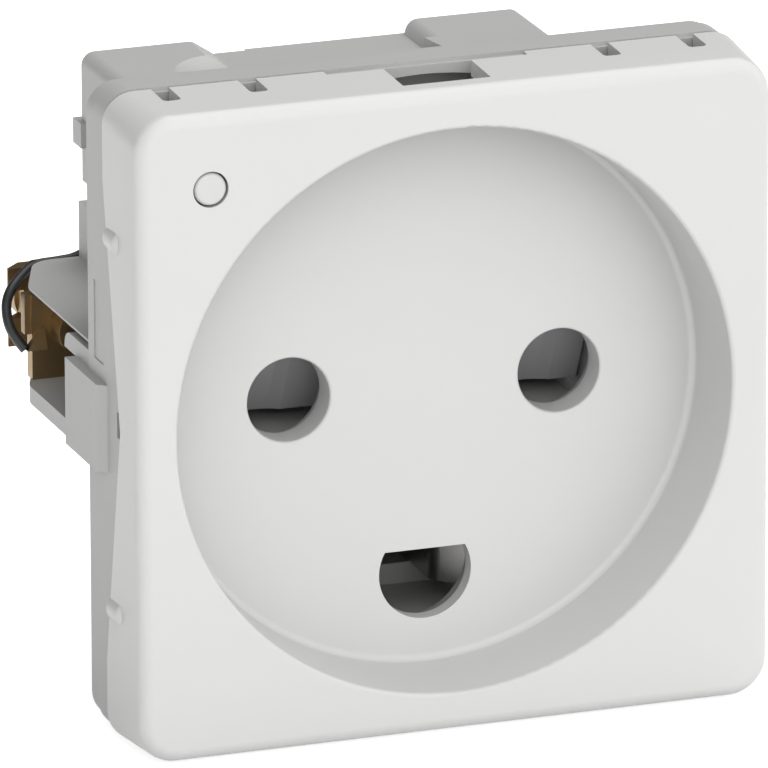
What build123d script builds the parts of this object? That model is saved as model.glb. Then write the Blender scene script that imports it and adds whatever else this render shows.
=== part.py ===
"""Clip-in wall socket module for round-pin plugs: a white cover with a round plug recess on a moulded base."""

from build123d import *
from math import radians, tan
import os

# Depths are measured in millimetres from the front plane of the cover, positive towards the wall.
# X points right and Z points up when the socket is seen from the front.

# Front cover
COVER_SIDE = 44.6
COVER_DEPTH = 6.4
COVER_DRAFT = 1.8
COVER_CORNER_R = 2.15
COVER_FRONT_CORNER_R = 2.7
COVER_EDGE_R = 1.0
COVER_WALL = 1.1
COVER_FACE = 1.6

# Plug recess in the cover
RECESS_MARGIN = 2.9
RECESS_DEPTH = 6.35
RECESS_DRAFT = 2.7
RECESS_WALL = 0.9
RECESS_FLOOR = 1.1
RECESS_RIM_R = 0.3
RECESS_FOOT_R = 0.5

# Holes for the plug's pins
PIN_PITCH = 19.0
PIN_HOLE_R = 2.88
PIN_COLLAR_WALL = 0.9
PIN_COLLAR_END = 8.5
HOLE_EDGE_R = 0.2
EARTH_HOLE_R = 3.25
EARTH_DROP = 12.95
EARTH_FLAT = 1.6

# Slots and tongues in the cover's top and bottom walls
TONGUE_INSET = 7.0
TONGUE_WIDTH = 4.75
SLOT_WIDTH = 1.25
SLOT_LENGTH = 2.7
SLOT_CORNER_R = 0.35
RELIEF_WIDTH = 14.0
RELIEF_LENGTH = 0.75
WINDOW_WIDTH = 6.1
WINDOW_LENGTH = 4.5
CATCH_HEIGHT = 0.3
CATCH_LENGTH = 0.9
CATCH_TAB = 0.8
CATCH_TAB_WIDTH = 4.2

# Side walls of the cover
VEE_INSET = 5.8
VEE_DEPTH = 2.9
VEE_TIP_CUT = 0.4
NOTCH_BOTTOM = -0.65
NOTCH_TOP = 1.1
NOTCH_REAR = 4.6
NUB_R = 0.92
NUB_INSET = 9.55
NUB_FRONT = 3.5
NUB_REAR = 6.0
NUB_END_R = 0.5
NUB_PROUD = 0.15

# Signal lamp
LAMP_INSET_X = 5.3
LAMP_INSET_Z = 5.25
LENS_R = 1.12
LENS_GAP = 0.1
LENS_FLANGE_R = 1.7
LENS_FLANGE = 0.8
LENS_LENGTH = 5.4
LENS_DOME = 0.3
LENS_BOSS_WALL = 0.6
LENS_BOSS_END = 4.6
BULB_R = 1.7
BULB_FRONT = 6.0
BULB_REAR = 14.0
BULB_LEG_R = 0.25
BULB_LEG = 0.7
RESISTOR_R = 1.1
RESISTOR_LENGTH = 6.0
RESISTOR_X = -6.0
RESISTOR_DEPTH = 13.4
RESISTOR_LEG_R = 0.3
RESISTOR_LEG = 5.6
RIB = 0.8

# Base housing
SEAM = 0.12
SKIRT_STEP_X = 0.25
SKIRT_STEP_Z = 0.3
SKIRT_CORNER_R = 2.0
RIM_STEP = 0.05
RIM_GAP = 0.45
RIM_REAR = 9.05
SKIRT_WALL = 1.25
SKIRT_REAR = 10.4
DISH_GAP = 1.1
PLATE_THICK = 1.25
BODY_WALL = 1.2

# Shutter frame, the inner plate that closes the base
FRAME_LEDGE = 1.05
FRAME_CORNER_R = 2.4
FRAME_THICK = 1.35
FRAME_GAP = 0.05
FRAME_HOLE_GAP = 0.5

# Lamp room on top of the base
ROOM_INSET = 1.95
ROOM_RIGHT = 10.8
ROOM_BOTTOM = 13.2
ROOM_BACK = 1.85
EAR_RISE = 1.0
EAR_EDGE_R = 0.9
LEFT_EAR_RIGHT = -12.4
RIGHT_EAR_LEFT = 2.8
LEFT_EAR_SLOPE = 1.5
RIGHT_EAR_SLOPE = 0.3
EAR_SCOOP_R = 7.3
EAR_SCOOP_SINK = 0.1
EAR_SCOOP_X = -12.0
EAR_SCOOP_DEPTH = 9.9
EAR_FOOT_LEAN = 0.5
EAR_FOOT_REAR = 12.7
PANEL_LEFT = -8.6
PANEL_PROUD = 0.3
ROOM_NUB_Z = 16.5
ROOM_NUB_HEIGHT = 1.7
ROOM_NUB_PROUD = 0.35
ROOM_NUB_REACH = 0.85

# Contact block behind the pin holes
BLOCK_HALF_X = 16.5
BLOCK_TOP = 8.1
BLOCK_BOTTOM = -6.0
BLOCK_BACK = 2.9
EARTH_BLOCK_HALF_X = 6.0
EARTH_MOUTH_FLOOR = -17.2
EARTH_MOUTH_REAR = 16.7
CHAMBER_INNER_X = 5.3
CHAMBER_HALF_Z = 3.6

# Terminal bays beside the block
SHELF_INSET = 0.15
SHELF_TOP = 4.2
SHELF_THICK = 0.9
BAY_FLOOR = -2.7
LOWER_SHELF_THICK = 1.2
SHELF_TAPER_LENGTH = 4.3
SHELF_TAPER_STOP = 1.1
SHELF_TAPER = 1.7
SHELF_EDGE = 0.15
SHELF_TAPER_R = 3.0
SHELF_CORNER_R = 2.0

# Side latches that hold the module in its frame
LATCH_PROUD = 0.6
LATCH_BOTTOM = -3.7
LATCH_LEDGE = 2.3
LATCH_TOP = 3.5
LATCH_FRONT = 7.1
LATCH_REAR = 13.6
LATCH_TOP_REAR = 15.9
LATCH_NOSE = 6.55
LATCH_CORNER_R = 1.1
GROOVE_FRONT = 7.3
GROOVE_REAR = 9.2
GROOVE_BOTTOM = 3.5
GROOVE_TOP = 8.9
GROOVE_DEPTH = 0.08

# Shutter
SHUTTER_HALF_X = 13.2
SHUTTER_BOTTOM = -2.8
SHUTTER_TOP = 7.0
SHUTTER_FRONT_GAP = 0.2
SHUTTER_THICK = 4.9
SHUTTER_TRAVEL = 6.2
RAMP_TOP = 3.1
RAMP_FOOT = 1.9
SCOOP_R = 3.2
SCOOP_DEPTH = 0.5
STOP_X = 12.5
STOP_HEIGHT = 0.8
POCKET_GAP = 0.3
POCKET_ROOF_GAP = 0.4
SPRING_R = 1.3
SPRING_WIRE_R = 0.2
SPRING_TURNS = 7
SPRING_SEAT = 3.3
SPRING_BORE_GAP = 0.2
SPRING_PEG_R = 0.8
SPRING_PEG = 1.5

# Contact clips
STRIP = 0.8
CLIP_HEIGHT = 4.0
CLIP_GRIP = 2.25
CLIP_LIP = 3.2
CLIP_SPREAD = 0.3
CLIP_LIP_LENGTH = 2.0
CLIP_BEND_R = 0.9
CLIP_FRONT = 16.2
BRIDGE_DEPTH = 26.1
EARTH_CLIP_FRONT = 10.4
EARTH_CLIP_HEIGHT = 5.0
EARTH_CLIP_LIP = 4.0
EARTH_LIP_LENGTH = 1.3
EARTH_FRAME_GAP = 0.9
SLOT_CLEAR = 0.3

# Terminals
CAGE_CLEAR = 0.3
CAGE_WIDTH = 4.5
CAGE_PLATE = 1.05
CAGE_TOP = 3.2
LIP_PROUD = 0.42
LIP_BOTTOM = 0.43
LIP_SETBACK = 0.25
COLLAR_R = 1.75
COLLAR_LENGTH = 2.15
CONDUCTOR_GAP = 3.4
CLAMP_THICK = 1.3
CLAMP_SETBACK = 0.05
CLAMP_Z = 0.8
CLAMP_HALF_Z = 2.73
CLAMP_NOTCH = 1.9
CLAMP_NOTCH_DEPTH = 1.1
CLAMP_BEVEL = 1.1
TAIL_SETBACK = 0.4
TAIL_NECK = 0.2
SCREW_OUT = 1.8
SCREW_Z = 1.0
SCREW_R = 1.3
SCREW_GAP = 0.1
SCREW_RECESS = 0.7
SCREW_HEAD_R = 2.1
SCREW_HEAD = 1.6
SCREW_SLOT = 0.6
SCREW_SLOT_DEPTH = 0.8
THREAD_GAP = 0.02
TAB_INSET = 0.84
TAB_TOP = 1.22
TAB_BOTTOM = -0.44
TAB_REACH = 1.4
TAB_THICK = 0.75

# Lamp leads
LEAD_R = 0.35
LEAD_HOLE_R = 1.0
LEAD_BEND_SHARE = 0.45
LEFT_LEAD_HOLE = (-16.4, 15.6)
RIGHT_LEAD_HOLE = (8.2, 15.8)
LEFT_LEAD_ROUTE = [
    (-17.0, 14.8, 16.9),
    (-16.7, 15.7, 16.1),
    (-16.2, 17.6, 15.2),
    (-15.0, 19.6, 12.6),
    (-13.8, 22.0, 9.6),
    (-13.3, 25.4, 8.75),
    (-13.4, 29.1, 8.95),
    (-13.9, 29.75, 7.4),
    (-15.0, 29.6, 4.9),
    (-16.4, 29.45, 3.98),
    (-18.1, 29.43, 3.87),
    (-19.25, 29.35, 3.87),
    (-20.1, 28.85, 3.8),
    (-20.9, 28.05, 3.55),
    (-21.9, 27.0, 3.2),
    (-22.55, 26.3, 2.5),
    (-22.7, 25.8, 1.65),
    (-22.65, 25.3, 0.9),
    (-22.3, 24.8, 0.15),
    (-21.88, 24.38, -0.42),
]
RIGHT_LEAD_ROUTE = [
    (2.7, 13.4, 17.3),
    (5.4, 13.6, 17.0),
    (7.4, 15.2, 16.4),
    (8.6, 17.8, 15.4),
    (10.6, 19.8, 12.4),
    (13.0, 22.0, 9.6),
    (13.3, 25.4, 8.75),
    (13.4, 29.1, 8.95),
    (13.9, 29.75, 7.4),
    (15.0, 29.6, 4.9),
    (16.4, 29.45, 3.98),
    (18.1, 29.43, 3.87),
    (19.25, 29.35, 3.87),
    (20.1, 28.85, 3.8),
    (20.9, 28.05, 3.55),
    (21.9, 27.0, 3.2),
    (22.55, 26.3, 2.5),
    (22.7, 25.8, 1.65),
    (22.65, 25.3, 0.9),
    (22.3, 24.8, 0.15),
    (21.88, 24.38, -0.42),
]

# Places that follow from the sizes above
PIN_X = PIN_PITCH / 2
COVER_HALF = COVER_SIDE / 2
RECESS_R = COVER_HALF - RECESS_MARGIN
TONGUE_X = COVER_HALF - TONGUE_INSET
VEE_HALF = COVER_HALF - VEE_INSET
NUB_Z = COVER_HALF - NUB_INSET
LAMP_X = LAMP_INSET_X - COVER_HALF
LAMP_Z = COVER_HALF - LAMP_INSET_Z
SKIRT_HALF_X = COVER_HALF - SKIRT_STEP_X
SKIRT_HALF_Z = COVER_HALF - SKIRT_STEP_Z
FRAME_SIDE = 2 * (SKIRT_HALF_X - SKIRT_WALL - FRAME_LEDGE)
SHELF_HALF_X = SKIRT_HALF_X - SHELF_INSET
LATCH_HALF_X = SKIRT_HALF_X + LATCH_PROUD
FLOOR_REAR = RECESS_DEPTH + RECESS_FLOOR
SKIRT_FRONT = COVER_DEPTH + SEAM
RIM_HALF_Z = COVER_HALF - RIM_STEP
RIM_FRONT = COVER_DEPTH + RIM_GAP
FRAME_FRONT = PIN_COLLAR_END + FRAME_GAP
FRAME_REAR = FRAME_FRONT + FRAME_THICK
PLATE_FRONT = FRAME_REAR + FRAME_GAP
PLATE_REAR = PLATE_FRONT + PLATE_THICK
SHUTTER_FRONT = PLATE_FRONT + SHUTTER_FRONT_GAP
SHUTTER_REAR = SHUTTER_FRONT + SHUTTER_THICK
POCKET_REAR = SHUTTER_REAR + POCKET_GAP
POCKET_ROOF = SHUTTER_TOP + SHUTTER_TRAVEL + POCKET_ROOF_GAP
POCKET_FLOOR = SHUTTER_BOTTOM - STOP_HEIGHT
POCKET_HALF_X = SHUTTER_HALF_X + POCKET_GAP
ROOM_LEFT = ROOM_INSET - SKIRT_HALF_X
EAR_TOP = SKIRT_HALF_Z
ROOM_TOP = EAR_TOP - EAR_RISE
ROOM_REAR = POCKET_REAR + ROOM_BACK
RESISTOR_Z = (POCKET_ROOF + ROOM_TOP) / 2
BLOCK_REAR = BRIDGE_DEPTH + BLOCK_BACK
EARTH_BLOCK_BOTTOM = -BLOCK_HALF_X
SHELF_TAPER_END = BLOCK_REAR - SHELF_TAPER_STOP
SHELF_TAPER_FROM = SHELF_TAPER_END - SHELF_TAPER_LENGTH
CHAMBER_REAR = BLOCK_REAR - BODY_WALL
CHAMBER_OUTER_X = BLOCK_HALF_X - BODY_WALL
BRIDGE_FRONT = BRIDGE_DEPTH - STRIP / 2
BRIDGE_REAR = BRIDGE_DEPTH + STRIP / 2
CAGE_RIGHT = -BLOCK_HALF_X - CAGE_CLEAR
CAGE_LEFT = CAGE_RIGHT - CAGE_WIDTH
CLAMP_LEFT = CAGE_LEFT + CLAMP_SETBACK
TAIL_END = CAGE_LEFT + TAIL_SETBACK
TAB_X = CAGE_LEFT + TAB_INSET
SCREW_X = -BLOCK_HALF_X - SCREW_OUT
CAGE_FRONT = BRIDGE_FRONT - CAGE_PLATE
CLAMP_FRONT = BRIDGE_REAR + CONDUCTOR_GAP
CLAMP_REAR = CLAMP_FRONT + CLAMP_THICK
COLLAR_FRONT = CAGE_FRONT - COLLAR_LENGTH
SHELF_UNDER = SHELF_TOP - SHELF_THICK
SPRING_Y = (SHUTTER_FRONT + SHUTTER_REAR) / 2


def at_depth(depth):
    """Plane parallel to the front, seen from the front."""
    return Plane.XZ.offset(-depth)


def prism(face, near, far):
    """Solid with a front-view section between two depths."""
    return extrude(at_depth(far) * face, amount=far - near)


def block(x0, x1, y0, y1, z0, z1):
    """Box between two corners."""
    centre = Pos((x0 + x1) / 2, (y0 + y1) / 2, (z0 + z1) / 2)
    return centre * Box(x1 - x0, y1 - y0, z1 - z0)


def rod(x, z, radius, near, far):
    """Round bar along the depth."""
    return prism(Pos(x, z) * Circle(radius), near, far)


def window(x0, x1, z0, z1, near, far):
    """Rectangular front-view opening between two depths."""
    face = Pos((x0 + x1) / 2, (z0 + z1) / 2) * Rectangle(x1 - x0, z1 - z0)
    return prism(face, near, far)


def both_sides(shape):
    """A shape and its mirror image across the middle plane."""
    return shape + mirror(shape, about=Plane.YZ)


def top_and_bottom(shape):
    """A shape and its mirror image below."""
    return shape + mirror(shape, about=Plane.XY)


def circles_at(shape, depth, radius):
    """Round edges of one radius that lie at one depth."""
    round_edges = shape.edges().filter_by(GeomType.CIRCLE)
    return round_edges.filter_by(
        lambda e: abs(e.radius - radius) < 1e-4 and abs(e.arc_center.Y - depth) < 1e-4
    )


def earth_outline(gap=0.0):
    """Round hole for the earth pin, cut flat on top."""
    keep = 2 * EARTH_HOLE_R + gap
    flat = Pos(0, EARTH_FLAT + gap - keep / 2) * Rectangle(2 * keep, keep)
    return Pos(0, -EARTH_DROP) * (Circle(EARTH_HOLE_R + gap) & flat)


def recess_body(radius, depth):
    """Drafted disc about the recess axis, from the front plane to a depth."""
    rear_radius = radius - depth * tan(radians(RECESS_DRAFT))
    outline = Polyline((0, 0), (radius, 0), (rear_radius, depth), (0, depth), close=True)
    return revolve(make_face(outline), axis=Axis.Y)


def vee_cut(half, tip, rear):
    """Side-view wedge that takes the rear edge of a side wall forward in the middle."""
    outline = Polyline((rear, -half), (tip, 0), (rear, half), close=True)
    return extrude(Plane.YZ * make_face(outline), amount=COVER_SIDE, both=True)


def cover_slots():
    """Slots beside the snap tongues, with the relief and the window between them."""
    slot_front = COVER_DEPTH - SLOT_LENGTH
    slots = Part()
    for edge in (-1, 1):
        x = TONGUE_X + edge * (TONGUE_WIDTH + SLOT_WIDTH) / 2
        slot = block(
            x - SLOT_WIDTH / 2, x + SLOT_WIDTH / 2, slot_front, COVER_DEPTH,
            COVER_HALF - 2 * COVER_WALL, COVER_HALF + COVER_WALL,
        )
        closed_end = slot.edges().filter_by(Axis.Z).group_by(Axis.Y)[0]
        slots += fillet(closed_end, SLOT_CORNER_R)
    slots = both_sides(slots)
    for width, length in ((RELIEF_WIDTH, RELIEF_LENGTH), (WINDOW_WIDTH, WINDOW_LENGTH)):
        slots += block(
            -width / 2, width / 2, COVER_DEPTH - length, COVER_DEPTH,
            COVER_HALF - 2 * COVER_WALL, COVER_HALF + COVER_WALL,
        )
    return top_and_bottom(slots)


def cover_catches():
    """Ridges inside the snap tongues that hook behind the base's tabs."""
    wall_inside = COVER_HALF - COVER_WALL
    outline = Polyline(
        (COVER_DEPTH - 2 * CATCH_LENGTH, wall_inside + CATCH_HEIGHT),
        (COVER_DEPTH - CATCH_LENGTH, wall_inside - CATCH_HEIGHT),
        (COVER_DEPTH, wall_inside + CATCH_HEIGHT),
        close=True,
    )
    ridge = extrude(Plane.YZ * make_face(outline), amount=TONGUE_WIDTH / 2, both=True)
    return top_and_bottom(both_sides(Pos(TONGUE_X, 0, 0) * ridge))


def cover_nubs():
    """Rounded nubs on the side walls, half sunk in the wall."""
    x = COVER_HALF - NUB_R + 2 * NUB_PROUD
    nub = rod(x, NUB_Z, NUB_R, NUB_FRONT, NUB_REAR)
    nub = fillet(nub.edges().filter_by(GeomType.CIRCLE), NUB_END_R)
    nub -= block(0, COVER_HALF - COVER_WALL, 0, 2 * COVER_DEPTH, 0, COVER_HALF)
    return top_and_bottom(both_sides(nub))


def cover_block():
    """Drafted square block with softer corners at the front than at the rear."""
    front_side = COVER_SIDE - 2 * COVER_DEPTH * tan(radians(COVER_DRAFT))
    front = at_depth(0) * RectangleRounded(front_side, front_side, COVER_FRONT_CORNER_R)
    rear = at_depth(COVER_DEPTH) * RectangleRounded(COVER_SIDE, COVER_SIDE, COVER_CORNER_R)
    body = loft([front, rear], ruled=True)
    return fillet(body.faces().sort_by(Axis.Y)[0].edges(), COVER_EDGE_R)


def front_cover():
    cover = cover_block()
    inside = COVER_SIDE - 2 * COVER_WALL
    cavity = RectangleRounded(inside, inside, COVER_CORNER_R - COVER_WALL)
    cover -= extrude(
        at_depth(COVER_DEPTH) * cavity, amount=COVER_DEPTH - COVER_FACE, taper=COVER_DRAFT
    )
    cover += recess_body(RECESS_R + RECESS_WALL, FLOOR_REAR)
    cover -= recess_body(RECESS_R, RECESS_DEPTH)
    floor_r = RECESS_R - RECESS_DEPTH * tan(radians(RECESS_DRAFT))
    cover = fillet(circles_at(cover, RECESS_DEPTH, floor_r), RECESS_FOOT_R)
    cover = fillet(circles_at(cover, 0, RECESS_R), RECESS_RIM_R)
    for side in (-1, 1):
        cover += rod(side * PIN_X, 0, PIN_HOLE_R + PIN_COLLAR_WALL, FLOOR_REAR, PIN_COLLAR_END)
        cover -= rod(side * PIN_X, 0, PIN_HOLE_R, RECESS_DEPTH, PIN_COLLAR_END)
    cover = fillet(circles_at(cover, RECESS_DEPTH, PIN_HOLE_R), HOLE_EDGE_R)
    cover -= prism(earth_outline(), RECESS_DEPTH, FLOOR_REAR)
    boss_r = LENS_FLANGE_R + LENS_GAP
    cover += rod(LAMP_X, LAMP_Z, boss_r + LENS_BOSS_WALL, COVER_FACE / 2, LENS_BOSS_END)
    cover -= rod(LAMP_X, LAMP_Z, boss_r, COVER_FACE, LENS_BOSS_END)
    cover -= rod(LAMP_X, LAMP_Z, LENS_R + LENS_GAP, 0, COVER_FACE)
    cover += cover_catches()
    cover -= cover_slots()
    cover -= vee_cut(VEE_HALF, COVER_DEPTH - VEE_DEPTH, COVER_DEPTH) - vee_keep()
    cover += cover_nubs()
    return cover


def vee_keep():
    """Middle region that the side cuts of the cover leave alone."""
    inside = COVER_SIDE - 4 * COVER_WALL
    return prism(Rectangle(inside, 2 * COVER_SIDE), 0, COVER_DEPTH)


def skirt_frame(side_gap, corner_gap):
    """Front-view outline of the skirt, shrunk by a gap."""
    return RectangleRounded(
        2 * (SKIRT_HALF_X - side_gap), 2 * (SKIRT_HALF_Z - side_gap), SKIRT_CORNER_R - corner_gap
    )


def rim():
    """Raised edge of the skirt along the top and the bottom, a little behind the cover."""
    outline = RectangleRounded(2 * SKIRT_HALF_X, 2 * RIM_HALF_Z, SKIRT_CORNER_R)
    edge = prism(outline, RIM_FRONT, RIM_REAR)
    return edge - window(-COVER_HALF, COVER_HALF, -VEE_HALF, VEE_HALF, RIM_FRONT, RIM_REAR)


def skirt():
    """Shallow tray with a rim that meets the cover and a seat for the shutter frame."""
    tray = prism(skirt_frame(0, 0), SKIRT_FRONT, SKIRT_REAR) + rim()
    wedge_tip = COVER_DEPTH - VEE_DEPTH + SEAM
    wedge_room = prism(skirt_frame(0, 0), wedge_tip + VEE_TIP_CUT, SKIRT_REAR)
    tray += vee_cut(VEE_HALF, wedge_tip, SKIRT_FRONT) & wedge_room
    tray -= prism(skirt_frame(SKIRT_WALL, SKIRT_WALL), 0, PIN_COLLAR_END)
    tray -= rod(0, 0, RECESS_R + RECESS_WALL + DISH_GAP, 0, PIN_COLLAR_END)
    tray -= window(-COVER_HALF, COVER_HALF, NOTCH_BOTTOM, NOTCH_TOP, 0, NOTCH_REAR)
    groove_x = SKIRT_HALF_X - GROOVE_DEPTH
    tray -= both_sides(window(groove_x, SKIRT_HALF_X, GROOVE_BOTTOM, GROOVE_TOP, GROOVE_FRONT, GROOVE_REAR))
    seat_side = FRAME_SIDE + 2 * FRAME_GAP
    tray -= prism(RectangleRounded(seat_side, seat_side, FRAME_CORNER_R), 0, PLATE_FRONT)
    tray += prism(skirt_frame(SKIRT_WALL, SKIRT_WALL), PLATE_FRONT, PLATE_REAR)
    return tray


def catch_tabs():
    """Upright tabs inside the rim that the cover's tongues snap over."""
    outer = COVER_HALF - COVER_WALL - CATCH_HEIGHT - SEAM
    ridge = COVER_HALF - COVER_WALL - 2 * SEAM
    ridge_rear = COVER_DEPTH - 2 * CATCH_LENGTH - SEAM
    outline = Polyline(
        (ridge_rear - CATCH_LENGTH, outer),
        (ridge_rear - CATCH_LENGTH / 2, ridge),
        (ridge_rear, outer),
        (PIN_COLLAR_END + SKIRT_WALL / 2, outer),
        (PIN_COLLAR_END + SKIRT_WALL / 2, outer - CATCH_TAB),
        (ridge_rear - CATCH_LENGTH, outer - CATCH_TAB),
        close=True,
    )
    tab = extrude(Plane.YZ * make_face(outline), amount=CATCH_TAB_WIDTH / 2, both=True)
    return top_and_bottom(both_sides(Pos(TONGUE_X, 0, 0) * tab))


def lamp_room():
    """Room for the signal lamp on top of the base, with two raised ears."""
    outline = Polyline(
        (ROOM_LEFT, ROOM_BOTTOM),
        (ROOM_LEFT, EAR_TOP),
        (LEFT_EAR_RIGHT, EAR_TOP),
        (LEFT_EAR_RIGHT + LEFT_EAR_SLOPE, ROOM_TOP),
        (RIGHT_EAR_LEFT - RIGHT_EAR_SLOPE, ROOM_TOP),
        (RIGHT_EAR_LEFT, EAR_TOP),
        (ROOM_RIGHT, EAR_TOP),
        (ROOM_RIGHT, ROOM_BOTTOM),
        close=True,
    )
    face = make_face(outline)
    ear_corners = face.vertices().group_by(Axis.Y)[-1]
    face = fillet(ear_corners, EAR_EDGE_R)
    room = prism(face, PLATE_FRONT, ROOM_REAR)
    scoop_z = ROOM_TOP - EAR_SCOOP_SINK + EAR_SCOOP_R
    room -= Pos(EAR_SCOOP_X, EAR_SCOOP_DEPTH, scoop_z) * Sphere(EAR_SCOOP_R)
    foot = Polyline(
        (RIGHT_EAR_LEFT, PLATE_FRONT),
        (RIGHT_EAR_LEFT - EAR_FOOT_LEAN, EAR_FOOT_REAR),
        (RIGHT_EAR_LEFT + EAR_EDGE_R, EAR_FOOT_REAR),
        (RIGHT_EAR_LEFT + EAR_EDGE_R, PLATE_FRONT),
        close=True,
    )
    room += extrude(Pos(0, 0, ROOM_TOP) * make_face(foot), amount=EAR_RISE)
    room += window(
        PANEL_LEFT, RIGHT_EAR_LEFT, ROOM_BOTTOM, ROOM_TOP, ROOM_REAR, ROOM_REAR + PANEL_PROUD
    )
    nub_z = ROOM_NUB_Z - ROOM_NUB_HEIGHT / 2
    room += window(
        ROOM_LEFT - ROOM_NUB_PROUD, ROOM_LEFT + BODY_WALL, nub_z, nub_z + ROOM_NUB_HEIGHT,
        ROOM_REAR - ROOM_NUB_REACH, ROOM_REAR + ROOM_NUB_REACH,
    )
    return room


def lamp_room_hollow():
    """Inside of the lamp room, with ribs left under the resistor."""
    floor = POCKET_ROOF + BODY_WALL
    hollow = window(
        ROOM_LEFT + BODY_WALL, ROOM_RIGHT - BODY_WALL, floor, ROOM_TOP - BODY_WALL,
        PLATE_FRONT, ROOM_REAR - BODY_WALL,
    )
    for side in (-1, 1):
        x = RESISTOR_X + side * RESISTOR_LENGTH / 3
        rib = block(
            x - RIB / 2, x + RIB / 2, RESISTOR_DEPTH - RESISTOR_R, ROOM_REAR,
            floor, RESISTOR_Z - RESISTOR_R / 2,
        )
        hollow -= rib
    hollow += Pos(RESISTOR_X, RESISTOR_DEPTH, RESISTOR_Z) * Rotation(0, 90, 0) * Cylinder(
        RESISTOR_R + FRAME_GAP, RESISTOR_LENGTH + RIB
    )
    return hollow + rod(LAMP_X, LAMP_Z, BULB_R + FRAME_GAP, PLATE_FRONT, BULB_REAR + BULB_LEG)


def shelf_outline():
    """Plan of a bay shelf on the left, narrowing in soft bends to a rounded rear corner."""
    taper_run = SHELF_TAPER * (BLOCK_REAR - SHELF_TAPER_FROM) / SHELF_TAPER_LENGTH
    rear_corner = (-SHELF_HALF_X + taper_run, BLOCK_REAR)
    outline = Polyline(
        (-BLOCK_HALF_X + BODY_WALL, SKIRT_REAR),
        (-SHELF_HALF_X, SKIRT_REAR),
        (-SHELF_HALF_X, SHELF_TAPER_FROM),
        rear_corner,
        (-BLOCK_HALF_X + BODY_WALL, BLOCK_REAR),
        close=True,
    )
    face = make_face(outline)
    taper_start = face.vertices().sort_by_distance((-SHELF_HALF_X, SHELF_TAPER_FROM, 0))[0]
    face = fillet(taper_start, SHELF_TAPER_R)
    near_corner = face.vertices().sort_by_distance((*rear_corner, 0))[0]
    return fillet(near_corner, SHELF_CORNER_R)


def bay_shelves():
    """Roof of the left terminal bay, bevelled below to a thin edge, and its floor."""
    outline = shelf_outline()
    roof = extrude(Pos(0, 0, SHELF_UNDER) * outline, amount=SHELF_THICK)
    under = roof.faces().sort_by(Axis.Z)[0].edges()
    outer = under.filter_by(lambda e: (e @ 0.5).X < -BLOCK_HALF_X and (e @ 0.5).Y > SKIRT_REAR + SHELF_EDGE)
    roof = chamfer(outer, SHELF_THICK - SHELF_EDGE)
    floor = extrude(Pos(0, 0, BAY_FLOOR - LOWER_SHELF_THICK) * outline, amount=LOWER_SHELF_THICK)
    return roof + floor


def latch():
    """Left snap latch: a proud block with a sloped nose, and a set-back upper part."""
    inner = -SKIRT_HALF_X + 2 * SKIRT_WALL
    nose = Polyline(
        (inner, LATCH_NOSE),
        (-SKIRT_HALF_X, LATCH_NOSE),
        (-LATCH_HALF_X, LATCH_FRONT),
        (-LATCH_HALF_X, LATCH_REAR),
        (inner, LATCH_REAR),
        close=True,
    )
    proud = extrude(Pos(0, 0, LATCH_BOTTOM) * make_face(nose), amount=LATCH_LEDGE - LATCH_BOTTOM)
    side = Polyline(
        (SKIRT_FRONT, LATCH_BOTTOM),
        (LATCH_REAR, LATCH_BOTTOM),
        (LATCH_REAR, LATCH_LEDGE),
        (LATCH_TOP_REAR, LATCH_LEDGE),
        (LATCH_TOP_REAR, LATCH_TOP),
        (SKIRT_FRONT, LATCH_TOP),
        close=True,
    )
    face = make_face(side)
    top_corner = face.vertices().sort_by_distance((LATCH_TOP_REAR, LATCH_TOP, 0))[0]
    face = fillet(top_corner, LATCH_CORNER_R)
    upper = extrude(Plane.YZ.offset(-SHELF_HALF_X) * face, amount=SHELF_HALF_X + inner)
    return proud + upper - prism(skirt_frame(SKIRT_WALL, SKIRT_WALL), 0, PLATE_FRONT)


def tail_slot():
    """Passage for a contact's tail from the left chamber to its bay."""
    half = CLIP_HEIGHT / 2 + SLOT_CLEAR
    return window(
        -BLOCK_HALF_X, -CHAMBER_OUTER_X, -half, half, BRIDGE_FRONT - SLOT_CLEAR, BRIDGE_REAR + SLOT_CLEAR
    )


def to_earth(shape):
    """Turns something made for the left bay down into the earth bay."""
    return Rotation(0, -90, 0) * shape


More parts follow.
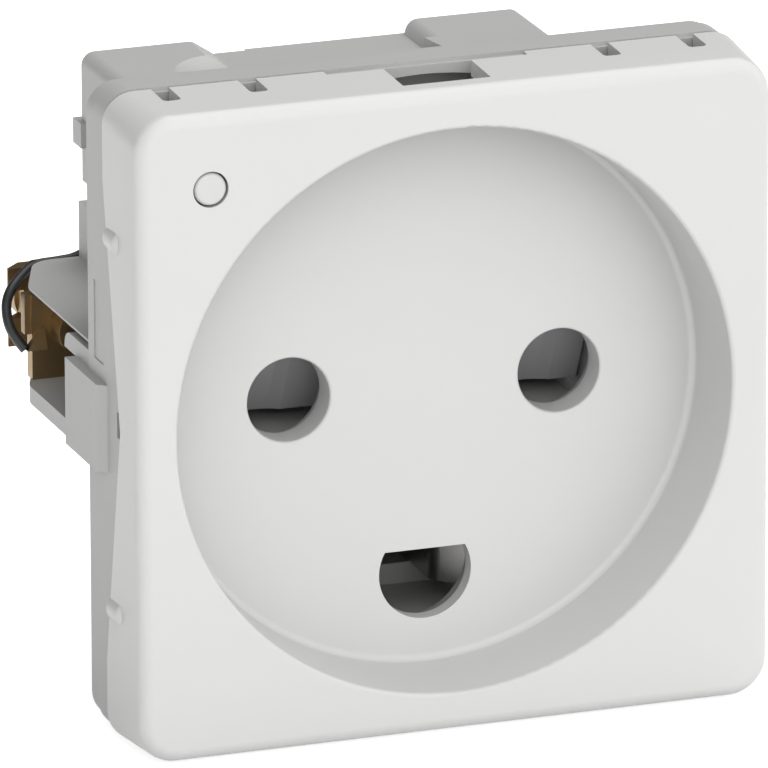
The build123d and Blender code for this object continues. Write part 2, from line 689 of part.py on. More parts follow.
def base_housing():
    base = skirt() + catch_tabs() + lamp_room()
    base += window(
        -BLOCK_HALF_X, BLOCK_HALF_X, BLOCK_BOTTOM, POCKET_ROOF + BODY_WALL, PLATE_FRONT, ROOM_REAR
    )
    base += window(-BLOCK_HALF_X, BLOCK_HALF_X, BLOCK_BOTTOM, BLOCK_TOP, PLATE_FRONT, BLOCK_REAR)
    base += window(
        -EARTH_BLOCK_HALF_X, EARTH_BLOCK_HALF_X, EARTH_BLOCK_BOTTOM, BLOCK_BOTTOM, PLATE_FRONT, BLOCK_REAR
    )
    base += window(
        -EARTH_BLOCK_HALF_X, EARTH_BLOCK_HALF_X, EARTH_MOUTH_FLOOR - BODY_WALL, BLOCK_BOTTOM,
        PLATE_FRONT, EARTH_MOUTH_REAR + BODY_WALL,
    )
    shelves = bay_shelves()
    base += both_sides(shelves) + to_earth(shelves)
    base += both_sides(latch())
    pocket = window(-POCKET_HALF_X, POCKET_HALF_X, POCKET_FLOOR, POCKET_ROOF, PLATE_FRONT, POCKET_REAR)
    stop = window(-POCKET_HALF_X, -STOP_X, POCKET_FLOOR, SHUTTER_BOTTOM, PLATE_FRONT, POCKET_REAR)
    base -= pocket - both_sides(stop)
    chamber = window(
        -CHAMBER_OUTER_X, -CHAMBER_INNER_X, -CHAMBER_HALF_Z, CHAMBER_HALF_Z, POCKET_REAR, CHAMBER_REAR
    )
    base -= both_sides(chamber + tail_slot())
    base -= earth_chamber()
    base -= lamp_room_hollow()
    base += Pos(0, SPRING_Y, POCKET_ROOF - SPRING_PEG / 2) * Cylinder(SPRING_PEG_R, SPRING_PEG)
    base -= grown_nubs()
    for x, z in (LEFT_LEAD_HOLE, RIGHT_LEAD_HOLE):
        base -= rod(x, z, LEAD_HOLE_R, ROOM_REAR - 2 * BODY_WALL, ROOM_REAR + 2 * PANEL_PROUD)
    return base


def earth_chamber():
    """Room for the earth clip below the pin chambers, deeper at its mouth, with its tail's passage."""
    half = EARTH_CLIP_HEIGHT / 2 + SLOT_CLEAR
    room = window(
        -EARTH_BLOCK_HALF_X + BODY_WALL, EARTH_BLOCK_HALF_X - BODY_WALL,
        -EARTH_DROP - half, -EARTH_DROP + half, PLATE_FRONT, CHAMBER_REAR,
    )
    room += window(
        -EARTH_BLOCK_HALF_X + BODY_WALL, EARTH_BLOCK_HALF_X - BODY_WALL,
        EARTH_MOUTH_FLOOR, -EARTH_DROP, PLATE_FRONT, EARTH_MOUTH_REAR,
    )
    slot_half = CLIP_HEIGHT / 2 + SLOT_CLEAR
    room += window(
        -slot_half, slot_half, EARTH_BLOCK_BOTTOM, -EARTH_DROP,
        BRIDGE_FRONT - SLOT_CLEAR, BRIDGE_REAR + SLOT_CLEAR,
    )
    return room


def grown_nubs():
    """Room in the rim for the cover's nubs."""
    x = COVER_HALF - NUB_R + 2 * NUB_PROUD
    space = rod(x, NUB_Z, NUB_R + SEAM, 0, NUB_REAR + SEAM)
    return top_and_bottom(both_sides(space))


def shutter_frame():
    plate = prism(RectangleRounded(FRAME_SIDE, FRAME_SIDE, FRAME_CORNER_R), FRAME_FRONT, FRAME_REAR)
    for side in (-1, 1):
        plate -= rod(side * PIN_X, 0, PIN_HOLE_R + FRAME_HOLE_GAP, FRAME_FRONT, FRAME_REAR)
    plate -= prism(earth_outline(EARTH_FRAME_GAP), FRAME_FRONT, FRAME_REAR)
    plate -= rod(LAMP_X, LAMP_Z, BULB_R + FRAME_GAP, FRAME_FRONT, FRAME_REAR)
    return plate


def shutter():
    """Slider with a scooped ramp behind each pin hole, lifted by the two pins together."""
    foot = SHUTTER_REAR - RAMP_FOOT
    outline = Polyline(
        (SHUTTER_FRONT, RAMP_TOP),
        (SHUTTER_FRONT, SHUTTER_TOP),
        (SHUTTER_REAR, SHUTTER_TOP),
        (SHUTTER_REAR, SHUTTER_BOTTOM),
        (foot, SHUTTER_BOTTOM),
        close=True,
    )
    slider = extrude(Plane.YZ * make_face(outline), amount=SHUTTER_HALF_X, both=True)
    ramp = Vector(0, foot - SHUTTER_FRONT, SHUTTER_BOTTOM - RAMP_TOP)
    outward = Vector(0, SHUTTER_BOTTOM - RAMP_TOP, SHUTTER_FRONT - foot).normalized()
    middle = Vector(0, (foot + SHUTTER_FRONT) / 2, (SHUTTER_BOTTOM + RAMP_TOP) / 2)
    for side in (-1, 1):
        centre = middle + outward * (SCOOP_R - SCOOP_DEPTH) + Vector(side * PIN_X, 0, 0)
        slider -= extrude(Plane(centre, z_dir=ramp) * Circle(SCOOP_R), amount=ramp.length, both=True)
    bore_r = SPRING_R + SPRING_WIRE_R + SPRING_BORE_GAP
    bore = SHUTTER_TOP - SPRING_SEAT
    slider -= Pos(0, SPRING_Y, SHUTTER_TOP - bore / 2) * Cylinder(bore_r, bore)
    return slider


def shutter_spring():
    length = POCKET_ROOF - SPRING_SEAT - 2 * SPRING_WIRE_R
    path = Helix(pitch=length / SPRING_TURNS, height=length, radius=SPRING_R)
    coil = sweep(Plane(path @ 0, z_dir=path % 0) * Circle(SPRING_WIRE_R), path=path, is_frenet=True)
    return Pos(0, SPRING_Y, SPRING_SEAT + SPRING_WIRE_R) * coil


def clip(front, height, mouth, flare):
    """Two sprung arms with flared lips, bent from one strip."""
    arm = CLIP_GRIP + STRIP / 2
    lip = mouth + STRIP / 2
    base = arm + CLIP_SPREAD
    path = FilletPolyline(
        (lip, front),
        (arm, front + flare),
        (base, BRIDGE_DEPTH),
        (-base, BRIDGE_DEPTH),
        (-arm, front + flare),
        (-lip, front),
        radius=CLIP_BEND_R,
    )
    return extrude(trace(path, STRIP), amount=height / 2, both=True)


def tail(inner):
    """Flat tail of the left contact, stepped up outside the block to the terminal screw."""
    half = CLIP_HEIGHT / 2
    step = -BLOCK_HALF_X - TAIL_NECK
    strip = window(step, inner, -half, half, BRIDGE_FRONT, BRIDGE_REAR)
    strip += window(TAIL_END, step, SCREW_Z - half, SCREW_Z + half, BRIDGE_FRONT, BRIDGE_REAR)
    return strip - rod(SCREW_X, SCREW_Z, SCREW_R + SCREW_GAP, BRIDGE_FRONT, BRIDGE_REAR)


def line_contact():
    return Pos(-PIN_X, 0, 0) * clip(CLIP_FRONT, CLIP_HEIGHT, CLIP_LIP, CLIP_LIP_LENGTH) + tail(-PIN_X)


def earth_contact():
    arms = clip(EARTH_CLIP_FRONT, EARTH_CLIP_HEIGHT, EARTH_CLIP_LIP, EARTH_LIP_LENGTH)
    return Pos(0, 0, -EARTH_DROP) * arms + to_earth(tail(-EARTH_DROP))


def lead_tab():
    """Pointed tab that leans forward from the left terminal to the end of the lamp lead."""
    front = Polyline((TAB_X, TAB_TOP), (TAB_X, TAB_BOTTOM), (TAB_X - TAB_REACH, TAB_BOTTOM), close=True)
    tab = prism(make_face(front), CAGE_FRONT - TAB_THICK, CAGE_FRONT)
    side = Polyline(
        (CAGE_FRONT, TAB_TOP), (CAGE_FRONT, TAB_BOTTOM), (CAGE_FRONT - TAB_THICK, TAB_BOTTOM), close=True
    )
    return tab & extrude(Plane.YZ * make_face(side), amount=TAB_X - TAB_REACH)


def terminal():
    """Brass plate at the left bay, with a threaded collar, a turned edge and a tab for the lamp lead."""
    plate = window(CAGE_LEFT, CAGE_RIGHT, BAY_FLOOR, CAGE_TOP, CAGE_FRONT, BRIDGE_FRONT)
    plate += window(
        CAGE_LEFT - LIP_PROUD, CAGE_LEFT, LIP_BOTTOM, CAGE_TOP, CAGE_FRONT + LIP_SETBACK, BRIDGE_FRONT
    )
    plate += rod(SCREW_X, SCREW_Z, COLLAR_R, COLLAR_FRONT, CAGE_FRONT)
    plate -= rod(SCREW_X, SCREW_Z, SCREW_R + THREAD_GAP, COLLAR_FRONT, BRIDGE_FRONT)
    return plate + lead_tab()


def clamp_plate():
    """Forked plate that the screw draws onto the conductor, bevelled at its outer end."""
    low = CLAMP_Z - CLAMP_HALF_Z
    high = CLAMP_Z + CLAMP_HALF_Z
    plan = Polyline(
        (CLAMP_LEFT, CLAMP_FRONT),
        (CAGE_RIGHT, CLAMP_FRONT),
        (CAGE_RIGHT, CLAMP_REAR),
        (CLAMP_LEFT + CLAMP_BEVEL, CLAMP_REAR),
        (CLAMP_LEFT, CLAMP_REAR - CLAMP_BEVEL),
        close=True,
    )
    plate = extrude(Pos(0, 0, low) * make_face(plan), amount=high - low)
    half = CLAMP_NOTCH / 2
    plate -= window(
        CLAMP_LEFT, CLAMP_LEFT + CLAMP_NOTCH_DEPTH, SCREW_Z - half, SCREW_Z + half, CLAMP_FRONT, CLAMP_REAR
    )
    return plate - rod(SCREW_X, SCREW_Z, SCREW_R + SCREW_GAP, CLAMP_FRONT, CLAMP_REAR)


def terminal_screw():
    head_rear = CLAMP_REAR + SCREW_HEAD
    screw = rod(SCREW_X, SCREW_Z, SCREW_R, COLLAR_FRONT + SCREW_RECESS, CLAMP_REAR)
    screw += rod(SCREW_X, SCREW_Z, SCREW_HEAD_R, CLAMP_REAR, head_rear)
    slot = window(
        SCREW_X - SCREW_HEAD_R, SCREW_X + SCREW_HEAD_R, SCREW_Z - SCREW_SLOT / 2, SCREW_Z + SCREW_SLOT / 2,
        head_rear - SCREW_SLOT_DEPTH, head_rear,
    )
    return screw - slot


def lamp_lens():
    """Clear light guide with a flange behind the face and a slightly domed front."""
    lens = rod(LAMP_X, LAMP_Z, LENS_R, 0, LENS_LENGTH)
    lens = fillet(circles_at(lens, 0, LENS_R), LENS_DOME)
    return lens + rod(LAMP_X, LAMP_Z, LENS_FLANGE_R, COVER_FACE, COVER_FACE + LENS_FLANGE)


def lamp_bulb():
    bulb = rod(LAMP_X, LAMP_Z, BULB_R, BULB_FRONT, BULB_REAR)
    bulb = fillet(circles_at(bulb, BULB_FRONT, BULB_R), BULB_R / 2)
    for side in (-1, 1):
        bulb += rod(LAMP_X + side * BULB_R / 2, LAMP_Z, BULB_LEG_R, BULB_REAR, BULB_REAR + BULB_LEG)
    return bulb


def lamp_resistor():
    """Small axial resistor lying on the ribs, with its two bare legs."""
    body = Cylinder(RESISTOR_R, RESISTOR_LENGTH)
    body = fillet(body.edges().filter_by(GeomType.CIRCLE), RESISTOR_R / 3)
    body += Cylinder(RESISTOR_LEG_R, RESISTOR_LENGTH + 2 * RESISTOR_LEG)
    return Pos(RESISTOR_X, RESISTOR_DEPTH, RESISTOR_Z) * Rotation(0, 90, 0) * body


def corner_radii(points):
    """Largest bend at each corner of a lead that its two runs leave room for."""
    radii = []
    for before, here, after in zip(points, points[1:], points[2:]):
        come = Vector(*here) - Vector(*before)
        go = Vector(*after) - Vector(*here)
        turn = radians(come.get_angle(go))
        radii.append(LEAD_BEND_SHARE * min(come.length, go.length) / tan(turn / 2))
    return radii


def lead(points):
    """Insulated lead along straight runs and tangent arcs."""
    path = FilletPolyline(*points, radius=corner_radii(points))
    return sweep(Plane(path @ 0, z_dir=path % 0) * Circle(LEAD_R), path=path)


def build():
    terminals = {"line": lambda s: s, "neutral": lambda s: mirror(s, about=Plane.YZ), "earth": to_earth}
    nodes = {
        "front_cover": front_cover(),
        "base_housing": base_housing(),
        "shutter_frame": shutter_frame(),
        "shutter": shutter(),
        "shutter_spring": shutter_spring(),
        "line_contact": line_contact(),
        "neutral_contact": mirror(line_contact(), about=Plane.YZ),
        "earth_contact": earth_contact(),
    }
    for pole, place in terminals.items():
        nodes[f"{pole}_terminal"] = place(terminal())
        nodes[f"{pole}_clamp_plate"] = place(clamp_plate())
        nodes[f"{pole}_screw"] = place(terminal_screw())
    nodes["lamp_lens"] = lamp_lens()
    nodes["lamp_bulb"] = lamp_bulb()
    nodes["lamp_resistor"] = lamp_resistor()
    nodes["lamp_lead_left"] = lead(LEFT_LEAD_ROUTE)
    nodes["lamp_lead_right"] = lead(RIGHT_LEAD_ROUTE)
    return nodes


def main():
    os.makedirs("parts", exist_ok=True)
    for name, shape in build().items():
        export_step(Pos(0, -RECESS_DEPTH, 0) * shape, f"parts/{name}.step")


main()
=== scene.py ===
"""Dresses the wall socket for its picture: finishes, lamp leads, floor, light and camera."""

from math import cos, pi, radians, sin

import bmesh
import bpy
from mathutils import Matrix, Vector

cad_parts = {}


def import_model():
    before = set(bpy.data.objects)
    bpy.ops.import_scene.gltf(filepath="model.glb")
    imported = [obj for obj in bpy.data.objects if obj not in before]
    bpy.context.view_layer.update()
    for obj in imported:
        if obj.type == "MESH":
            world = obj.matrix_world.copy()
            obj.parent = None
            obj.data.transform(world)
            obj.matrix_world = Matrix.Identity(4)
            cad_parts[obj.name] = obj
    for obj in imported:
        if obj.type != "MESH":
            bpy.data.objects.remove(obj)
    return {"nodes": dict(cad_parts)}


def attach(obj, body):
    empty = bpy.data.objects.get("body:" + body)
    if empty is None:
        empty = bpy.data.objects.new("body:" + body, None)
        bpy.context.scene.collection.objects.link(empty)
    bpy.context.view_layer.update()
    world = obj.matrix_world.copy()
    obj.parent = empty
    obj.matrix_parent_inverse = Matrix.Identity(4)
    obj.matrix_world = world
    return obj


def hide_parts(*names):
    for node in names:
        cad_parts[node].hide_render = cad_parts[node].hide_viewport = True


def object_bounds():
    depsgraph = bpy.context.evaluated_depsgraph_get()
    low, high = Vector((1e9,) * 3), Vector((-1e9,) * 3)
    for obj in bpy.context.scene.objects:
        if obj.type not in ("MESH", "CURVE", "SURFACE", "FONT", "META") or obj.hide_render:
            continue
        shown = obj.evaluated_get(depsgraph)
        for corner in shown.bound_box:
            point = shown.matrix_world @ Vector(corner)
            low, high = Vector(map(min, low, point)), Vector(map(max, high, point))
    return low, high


MM = 0.001

# Camera, fitted to the photograph: turn to the left, height above the horizon and roll in degrees
VIEW_TURN = -19.617
VIEW_RISE = 17.487
VIEW_ROLL = -0.189
VIEW_DISTANCE = 879.455 * MM
VIEW_RIGHT = -4.823 * MM
VIEW_UP = 1.882 * MM
RECESS_DEPTH = 6.35 * MM
SENSOR_MM = 36.0
FOCAL_PIXELS = 13379.66
PHOTO_PIXELS = 768
LENS_MM = FOCAL_PIXELS / PHOTO_PIXELS * SENSOR_MM

# Studio light: surround in front and behind, way and reach of the change, softboxes in metres and watts
FRONT_LEVEL = 1.03
BACK_LEVEL = 0.05
FALL_WAY = (-0.35, 1.0, -0.2)
FALL_OFF = 0.5
FRONT_BOX = (-0.1, -1.25, 0.65)
FRONT_SIZE = 1.3
FRONT_POWER = 4.5
TOP_BOX = (0.35, 0.35, 1.0)
TOP_SIZE = 0.8
TOP_POWER = 3.5

# Floor: its own glow and half its side
FLOOR_GLOW = 0.8
FLOOR_HALF = 4.0

# Size of the marks on each surface, in millimetres: mould flow, handled patches, moulding waves, draw marks
FLOW_MM = 14
PATCH_MM = 2.4
WAVE_MM = 1.2
DRAW_MM = 0.5
LINE_STRETCH = 20

# Where the resistor's printed rings begin and end along X
RINGS_FROM = -9 * MM
RINGS_TO = -3 * MM

# Merged copies of the model pieces
MERGE_DISTANCE = 0.001 * MM
FLAT_ANGLE = radians(3.5)
CREASE_ANGLE = radians(5.0)
SMOOTH_ANGLE = radians(35.0)
WIDE = 0.8 * MM

# Rounded edge of the plug recess: its middle circle, its radius and how near a point must be to count
RIM_RADIUS = 19.69 * MM
RIM_PLACE = -6.05 * MM
RIM_ROUND = 0.3 * MM
RIM_SLACK = 0.02 * MM

# Lamp leads: insulation diameter and the points of their routes, in millimetres from the recess floor
LEAD_DIAMETER = 0.7 * MM
LEFT_LEAD = [
    (-17, 8.45, 16.9),
    (-16.7, 9.35, 16.1),
    (-16.2, 11.25, 15.2),
    (-15, 13.25, 12.6),
    (-13.8, 15.65, 9.6),
    (-13.3, 19.05, 8.75),
    (-13.4, 22.75, 8.95),
    (-13.9, 23.4, 7.4),
    (-15, 23.25, 4.9),
    (-16.4, 23.1, 3.98),
    (-18.1, 23.08, 3.87),
    (-19.25, 23, 3.87),
    (-20.1, 22.5, 3.8),
    (-20.9, 21.7, 3.55),
    (-21.9, 20.65, 3.2),
    (-22.55, 19.95, 2.5),
    (-22.7, 19.45, 1.65),
    (-22.65, 18.95, 0.9),
    (-22.3, 18.45, 0.15),
    (-21.88, 18.03, -0.42),
]
RIGHT_LEAD = [
    (2.7, 7.05, 17.3),
    (5.4, 7.25, 17),
    (7.4, 8.85, 16.4),
    (8.6, 11.45, 15.4),
    (10.6, 13.45, 12.4),
    (13, 15.65, 9.6),
    (13.3, 19.05, 8.75),
    (13.4, 22.75, 8.95),
    (13.9, 23.4, 7.4),
    (15, 23.25, 4.9),
    (16.4, 23.1, 3.98),
    (18.1, 23.08, 3.87),
    (19.25, 23, 3.87),
    (20.1, 22.5, 3.8),
    (20.9, 21.7, 3.55),
    (21.9, 20.65, 3.2),
    (22.55, 19.95, 2.5),
    (22.7, 19.45, 1.65),
    (22.65, 18.95, 0.9),
    (22.3, 18.45, 0.15),
    (21.88, 18.03, -0.42),
]


def linear(hex_colour):
    """Turns an sRGB hex colour into linear RGBA."""
    channels = [int(hex_colour[i:i + 2], 16) / 255 for i in (1, 3, 5)]
    straight = [c / 12.92 if c <= 0.04045 else ((c + 0.055) / 1.055) ** 2.4 for c in channels]
    return (*straight, 1.0)


def add(tree, kind, settings=None, links=None):
    """Adds a node, sets its properties and sockets, and links its inputs."""
    node = tree.nodes.new(kind)
    for name, value in (settings or {}).items():
        if isinstance(name, str) and hasattr(node, name):
            setattr(node, name, value)
        else:
            node.inputs[name].default_value = value
    for name, source in (links or {}).items():
        tree.links.new(source, node.inputs[name])
    return node


def new_material(name):
    """An empty material and its node tree."""
    material = bpy.data.materials.new(name)
    material.use_nodes = True
    material.node_tree.nodes.clear()
    return material, material.node_tree


def finish_surface(tree, settings, links):
    """Ends a material in one principled shader."""
    shader = add(tree, "ShaderNodeBsdfPrincipled", settings, links)
    add(tree, "ShaderNodeOutputMaterial", links={"Surface": shader.outputs["BSDF"]})


def object_spot(tree):
    """Place on the piece in its own coordinates."""
    return add(tree, "ShaderNodeTexCoord").outputs["Object"]


def noise(tree, spot, size_mm, detail, roughness=0.5):
    """Noise with marks of a given size."""
    settings = {"Scale": 1 / (size_mm * MM), "Detail": detail, "Roughness": roughness}
    return add(tree, "ShaderNodeTexNoise", settings, {"Vector": spot}).outputs["Fac"]


def two_tones(tree, colour, darker, share):
    """Colour that drifts between two tones."""
    settings = {"data_type": "RGBA", 6: linear(colour), 7: linear(darker)}
    return add(tree, "ShaderNodeMix", settings, {0: share}).outputs[2]


def uneven(tree, low, high, share):
    """Value that drifts between two limits."""
    settings = {"To Min": low, "To Max": high}
    return add(tree, "ShaderNodeMapRange", settings, {"Value": share}).outputs["Result"]


def relief(tree, height, strength, depth_mm):
    """Fine relief of the skin."""
    settings = {"Strength": strength, "Distance": depth_mm * MM}
    return add(tree, "ShaderNodeBump", settings, {"Height": height}).outputs["Normal"]


def moulded_plastic(name, colour, darker, roughness, grain_mm, depth_mm):
    """Injection-moulded plastic: fine spark-eroded grain, faint flow shading, slightly uneven gloss."""
    material, tree = new_material(name)
    spot = object_spot(tree)
    flow = noise(tree, spot, FLOW_MM, 2.0)
    grain = noise(tree, spot, grain_mm, 3.0, 0.6)
    finish_surface(
        tree,
        {"IOR": 1.54, "Specular IOR Level": 0.4},
        {
            "Base Color": two_tones(tree, colour, darker, flow),
            "Roughness": uneven(tree, roughness - 0.05, roughness + 0.05, grain),
            "Normal": relief(tree, grain, 0.35, depth_mm),
        },
    )
    return material


def rolled_metal(name, colour, dull, roughness, line_mm):
    """Stamped strip metal: straight rolling lines, dull patches where it was handled."""
    material, tree = new_material(name)
    spot = object_spot(tree)
    stretch = add(tree, "ShaderNodeMapping", {"Scale": (1.0, 1.0, 1 / LINE_STRETCH)}, {"Vector": spot})
    lines = noise(tree, stretch.outputs["Vector"], line_mm, 2.0)
    patches = noise(tree, spot, PATCH_MM, 3.0)
    finish_surface(
        tree,
        {"Metallic": 1.0},
        {
            "Base Color": two_tones(tree, colour, dull, patches),
            "Roughness": uneven(tree, roughness - 0.08, roughness + 0.12, patches),
            "Normal": relief(tree, lines, 0.2, 0.01),
        },
    )
    return material


def clear_plastic(name, colour, roughness, transmission):
    """Clear moulding: lets the light through, with slight moulding waves on its skin."""
    material, tree = new_material(name)
    waves = noise(tree, object_spot(tree), WAVE_MM, 1.0)
    finish_surface(
        tree,
        {
            "Base Color": linear(colour),
            "Roughness": roughness,
            "IOR": 1.49,
            "Transmission Weight": transmission,
        },
        {"Normal": relief(tree, waves, 0.1, 0.02)},
    )
    return material


def insulation(name, colour, lighter):
    """Extruded lead insulation: smooth and dark, with faint draw marks along it."""
    material, tree = new_material(name)
    marks = noise(tree, object_spot(tree), DRAW_MM, 2.0)
    finish_surface(
        tree, {"Roughness": 0.42, "IOR": 1.53}, {"Base Color": two_tones(tree, colour, lighter, marks)}
    )
    return material


def resistor_lacquer(name, colour, bands):
    """Lacquered resistor body: plain coat with printed colour rings along its length."""
    material, tree = new_material(name)
    along = add(tree, "ShaderNodeSeparateXYZ", links={0: object_spot(tree)})
    spread = add(
        tree, "ShaderNodeMapRange",
        {"From Min": RINGS_FROM, "From Max": RINGS_TO}, {"Value": along.outputs["X"]},
    )
    ramp = add(tree, "ShaderNodeValToRGB", links={"Fac": spread.outputs["Result"]})
    ramp.color_ramp.interpolation = "CONSTANT"
    ramp.color_ramp.elements[0].color = linear(colour)
    ramp.color_ramp.elements[1].position = 0.9
    ramp.color_ramp.elements[1].color = linear(colour)
    for start, ring in bands:
        for position, tone in ((start, ring), (start + 0.1, colour)):
            ramp.color_ramp.elements.new(position).color = linear(tone)
    finish_surface(tree, {"Roughness": 0.3}, {"Base Color": ramp.outputs["Color"]})
    return material


def flat_widths(shape):
    """For each face, the width of the flat region that it belongs to: area over longest reach."""
    widths = {}
    for first in shape.faces:
        if first in widths:
            continue
        widths[first] = 0.0
        region = [first]
        for face in region:
            for edge in face.edges:
                if edge.calc_face_angle(pi) > FLAT_ANGLE:
                    continue
                for other in edge.link_faces:
                    if other not in widths:
                        widths[other] = 0.0
                        region.append(other)
        spots = [vert.co for face in region for vert in face.verts]
        reach = max((spot - spots[0]).length for spot in spots)
        width = sum(face.calc_area() for face in region) / max(reach, MERGE_DISTANCE)
        for face in region:
            widths[face] = width
    return widths


def smooth_fans(vert):
    """Groups of a vertex's corners that meet over smooth edges."""
    left = list(vert.link_loops)
    while left:
        fan = [left.pop()]
        for loop in fan:
            for edge in loop.face.edges:
                if not edge.smooth or vert not in edge.verts:
                    continue
                near = [other for other in left if edge in other.face.edges]
                left = [other for other in left if other not in near]
                fan.extend(near)
        yield fan


def rim_normal(spot):
    """Outward direction on the rounded edge of the plug recess, or nothing elsewhere."""
    middle = Vector((spot.x, 0.0, spot.z)).normalized() * RIM_RADIUS
    middle.y = RIM_PLACE
    away = spot - middle
    return away.normalized() if abs(away.length - RIM_ROUND) < RIM_SLACK else None


def shade(mesh):
    """Shades fillets and round faces smooth, keeps wide flat faces flat and the edges between them crisp."""
    shape = bmesh.new()
    shape.from_mesh(mesh)
    widths = flat_widths(shape)
    for face in shape.faces:
        face.smooth = True
    for edge in shape.edges:
        angle = edge.calc_face_angle(pi)
        narrow = min((widths[face] for face in edge.link_faces), default=0.0)
        edge.smooth = angle < (CREASE_ANGLE if narrow > WIDE else SMOOTH_ANGLE)
    normals = {}
    for vert in shape.verts:
        away = rim_normal(vert.co)
        for fan in smooth_fans(vert):
            flat = [loop for loop in fan if widths[loop.face] > WIDE]
            total = sum((loop.face.normal * loop.calc_angle() for loop in flat or fan), Vector())
            normals.update({loop: away or total.normalized() for loop in fan})
    ordered = [normals[loop] for face in shape.faces for loop in face.loops]
    shape.to_mesh(mesh)
    shape.free()
    mesh.normals_split_custom_set(ordered)


def smooth_copy(nodes, name, body, slot, finish):
    """Merged copy of a model piece, with its curved faces shaded smooth and its corners crisp."""
    merged = bmesh.new()
    merged.from_mesh(nodes[name].data)
    bmesh.ops.remove_doubles(merged, verts=merged.verts, dist=MERGE_DISTANCE)
    merged.verts.index_update()
    spots = [tuple(vert.co) for vert in merged.verts]
    faces = [[vert.index for vert in face.verts] for face in merged.faces]
    merged.free()
    mesh = bpy.data.meshes.new(f"{name}_skin")
    mesh.from_pydata(spots, [], faces)
    shade(mesh)
    mesh.materials.append(finish)
    copy = bpy.data.objects.new(f"{name}_skin", mesh)
    bpy.context.scene.collection.objects.link(copy)
    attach(copy, body)
    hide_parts(name)


def dress(nodes, finishes):
    """Puts a finish on every node of the model."""
    for finish, slot, names in finishes:
        for name in names:
            body = "shutter" if name == "shutter" else "housing"
            smooth_copy(nodes, name, body, slot, finish)


def lamp_lead(name, node, points, material):
    """Insulated lead on one smooth curve through its route's points."""
    curve = bpy.data.curves.new(name, "CURVE")
    curve.dimensions = "3D"
    curve.bevel_depth = LEAD_DIAMETER / 2
    curve.bevel_resolution = 4
    curve.resolution_u = 8
    curve.use_fill_caps = True
    spline = curve.splines.new("NURBS")
    spline.points.add(len(points) - 1)
    for point, spot in zip(spline.points, points):
        point.co = (*(value * MM for value in spot), 1.0)
    spline.order_u = 3
    spline.use_endpoint_u = True
    curve.materials.append(material)
    lead = bpy.data.objects.new(name, curve)
    bpy.context.scene.collection.objects.link(lead)
    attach(lead, "housing")
    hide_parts(node)
    start = [value * MM for value in points[0]]


def build_floor(low):
    """Plain pale floor under the socket."""
    mesh = bpy.data.meshes.new("floor")
    half = FLOOR_HALF
    corners = [(-half, -half, low), (half, -half, low), (half, half, low), (-half, half, low)]
    mesh.from_pydata(corners, [], [(0, 1, 2, 3)])
    floor = bpy.data.objects.new("floor", mesh)
    bpy.context.scene.collection.objects.link(floor)
    material, tree = new_material("pale studio floor")
    paint = add(tree, "ShaderNodeBsdfDiffuse", {"Color": linear("#F4F4F4")})
    glow = add(tree, "ShaderNodeEmission", {"Color": (1.0, 1.0, 1.0, 1.0), "Strength": FLOOR_GLOW})
    lit = add(tree, "ShaderNodeAddShader", links={0: paint.outputs[0], 1: glow.outputs[0]})
    rays = add(tree, "ShaderNodeLightPath")
    seen = add(
        tree, "ShaderNodeMath", {"operation": "MAXIMUM"},
        {0: rays.outputs["Is Camera Ray"], 1: rays.outputs["Is Glossy Ray"]},
    )
    choice = add(
        tree, "ShaderNodeMixShader",
        links={0: seen.outputs[0], 1: paint.outputs[0], 2: lit.outputs[0]},
    )
    add(tree, "ShaderNodeOutputMaterial", links={"Surface": choice.outputs[0]})
    mesh.materials.append(material)


def build_world():
    """Soft studio surround, brighter in front than behind, white where it is seen directly."""
    world = bpy.data.worlds.new("studio")
    world.use_nodes = True
    tree = world.node_tree
    tree.nodes.clear()
    place = add(tree, "ShaderNodeTexCoord")
    depth = add(
        tree, "ShaderNodeVectorMath",
        {"operation": "DOT_PRODUCT", 1: FALL_WAY}, {0: place.outputs["Generated"]},
    )
    around = add(
        tree, "ShaderNodeMapRange",
        {"From Min": -FALL_OFF, "From Max": FALL_OFF, "To Min": FRONT_LEVEL, "To Max": BACK_LEVEL},
        {"Value": depth.outputs["Value"]},
    )
    rays = add(tree, "ShaderNodeLightPath")
    level = add(
        tree, "ShaderNodeMix", {3: 1.0}, {0: rays.outputs["Is Camera Ray"], 2: around.outputs["Result"]}
    )
    light = add(
        tree, "ShaderNodeBackground", {"Color": (1.0, 1.0, 1.0, 1.0)}, {"Strength": level.outputs[0]}
    )
    add(tree, "ShaderNodeOutputWorld", links={"Surface": light.outputs[0]})
    bpy.context.scene.world = world


def softbox(name, place, size, power):
    """Square soft light that faces the socket."""
    light = bpy.data.lights.new(name, "AREA")
    light.shape = "SQUARE"
    light.size = size
    light.energy = power
    lamp = bpy.data.objects.new(name, light)
    lamp.location = place
    lamp.rotation_euler = (-Vector(place)).to_track_quat("-Z", "Y").to_euler()
    bpy.context.scene.collection.objects.link(lamp)


def build_camera():
    """Long lens at the photograph's angle."""
    turn = radians(VIEW_TURN)
    rise = radians(VIEW_RISE)
    back = Vector((sin(turn) * cos(rise), -cos(turn) * cos(rise), sin(rise)))
    right = Vector((cos(turn), sin(turn), 0.0))
    up = back.cross(right)
    roll_cos = cos(radians(VIEW_ROLL))
    roll_sin = sin(radians(VIEW_ROLL))
    rolled_right = roll_cos * right + roll_sin * up
    rolled_up = roll_cos * up - roll_sin * right
    data = bpy.data.cameras.new("camera")
    data.sensor_width = SENSOR_MM
    data.lens = LENS_MM
    data.clip_start = 0.05
    data.clip_end = 20.0
    camera = bpy.data.objects.new("camera", data)
    place = back * VIEW_DISTANCE + rolled_right * VIEW_RIGHT + rolled_up * VIEW_UP
    place.y -= RECESS_DEPTH
    camera.matrix_world = Matrix.Translation(place) @ Matrix(
        (rolled_right, rolled_up, back)
    ).transposed().to_4x4()
    bpy.context.scene.collection.objects.link(camera)
    bpy.context.scene.camera = camera


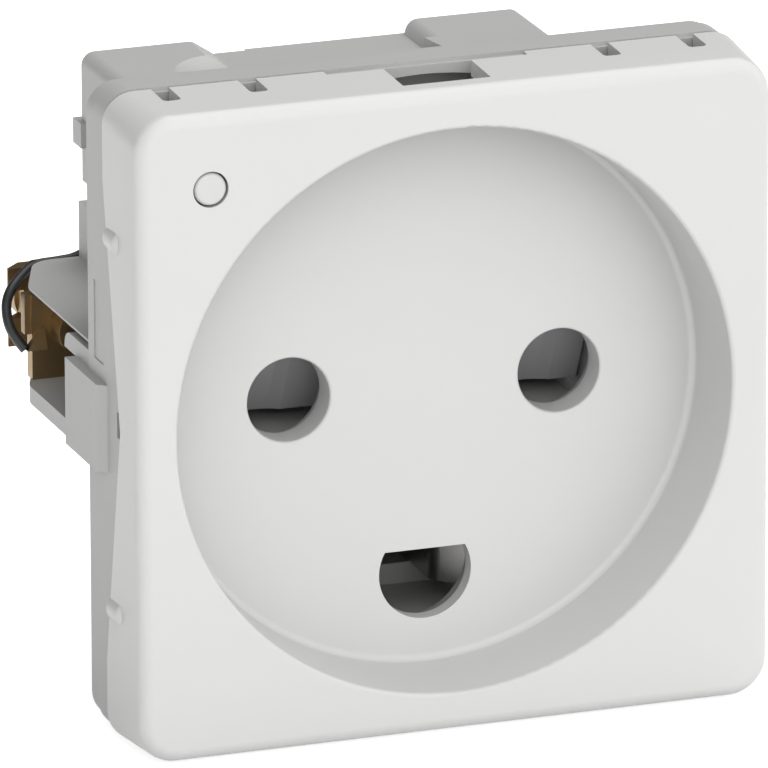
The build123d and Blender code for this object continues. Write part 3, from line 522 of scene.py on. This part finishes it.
def main():
    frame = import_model()
    cad_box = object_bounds()
    nodes = frame["nodes"]

    # White polycarbonate cover, satin from a finely eroded mould
    cover_white = moulded_plastic("white_polycarbonate", "#E0E0DF", "#DCDCDB", 0.42, 0.35, 0.012)
    # Grey-white polyamide base, a little darker and duller than the cover
    base_grey = moulded_plastic("grey_white_polyamide", "#C2C2C1", "#BCBCBB", 0.5, 0.4, 0.015)
    # Grey acetal shutter, slippery and smooth
    shutter_grey = moulded_plastic("grey_acetal", "#BDBDBF", "#B6B6B8", 0.38, 0.3, 0.008)
    # Brass strip and bar, dulled by handling
    brass = rolled_metal("stamped_brass", "#A68F69", "#836D4E", 0.4, 0.12)
    # Nickel-plated copper strip, bright and slightly warm
    nickel = rolled_metal("nickel_plated_strip", "#A9A8A5", "#8A8A88", 0.28, 0.12)
    # Drawn spring wire, grey and smooth
    wire = rolled_metal("drawn_spring_steel", "#9A9B9D", "#7C7D80", 0.3, 0.08)
    # Clear acrylic light guide in the face
    lens = clear_plastic("clear_acrylic", "#E6E6E5", 0.2, 0.12)
    # Clear glass of the glow lamp
    glass = clear_plastic("lamp_glass", "#F6F1E4", 0.04, 0.9)
    # Lacquered film resistor with printed rings
    lacquer = resistor_lacquer(
        "resistor_lacquer", "#C9AE84", ((0.15, "#7A4A22"), (0.35, "#2A2A2A"), (0.55, "#D8A020"))
    )
    # Black extruded insulation of the lamp leads
    black = insulation("black_insulation", "#1E1F20", "#2A2B2C")

    poles = ("line", "neutral", "earth")
    terminal_pieces = [f"{pole}_{piece}" for pole in poles for piece in ("terminal", "clamp_plate", "screw")]
    dress(nodes, (
        (cover_white, "white_plastic", ["front_cover"]),
        (base_grey, "grey_white_plastic", ["base_housing", "shutter_frame"]),
        (shutter_grey, "grey_plastic", ["shutter"]),
        (brass, "brass", ["line_contact", "neutral_contact", *terminal_pieces]),
        (nickel, "nickel_plate", ["earth_contact"]),
        (lens, "clear_plastic", ["lamp_lens"]),
        (glass, "bulb_glass", ["lamp_bulb"]),
        (lacquer, "resistor_body", ["lamp_resistor"]),
    ))
    nodes["shutter_spring"].data.materials.clear()
    nodes["shutter_spring"].data.materials.append(wire)
    lamp_lead("lead_left", "lamp_lead_left", LEFT_LEAD, black)
    lamp_lead("lead_right", "lamp_lead_right", RIGHT_LEAD, black)

    build_floor(cad_box[0][2])
    build_world()
    softbox("front_softbox", FRONT_BOX, FRONT_SIZE, FRONT_POWER)
    softbox("top_softbox", TOP_BOX, TOP_SIZE, TOP_POWER)
    build_camera()
    bpy.context.scene.view_settings.view_transform = "Standard"
    # One bounce, so that the pin holes stay as dark as in the photograph
    bpy.context.scene.cycles.diffuse_bounces = 1


main()
